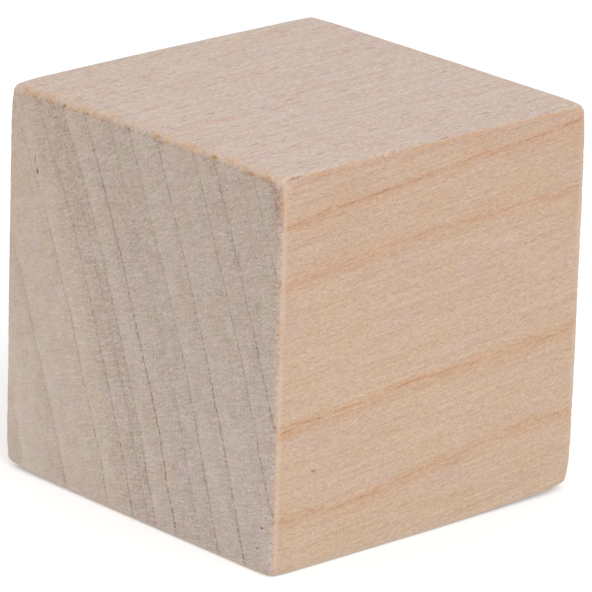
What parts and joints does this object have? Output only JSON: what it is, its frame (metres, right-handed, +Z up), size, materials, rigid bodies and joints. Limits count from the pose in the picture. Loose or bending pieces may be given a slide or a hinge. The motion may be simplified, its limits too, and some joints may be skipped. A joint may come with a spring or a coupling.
{
  "type": "wooden cube",
  "caption": "Plain solid wooden cube with flat sanded faces, lightly eased edges and softly worn corners, grain running along one axis.",
  "frame": {"origin": "centre of the bottom face", "axes": "+X along the grain, so the two end-grain faces are -X and +X; +Y towards the back long-grain face; +Z up, out of the top face"},
  "size_m": [0.04, 0.04, 0.04],
  "materials": {
    "bare_wood": "bare, fine sanded, no varnish, with pale end grain and fine growth-ring lines"
  },
  "bodies": {
    "root": {"cube_block": "bare_wood"}
  },
  "joints": []
}
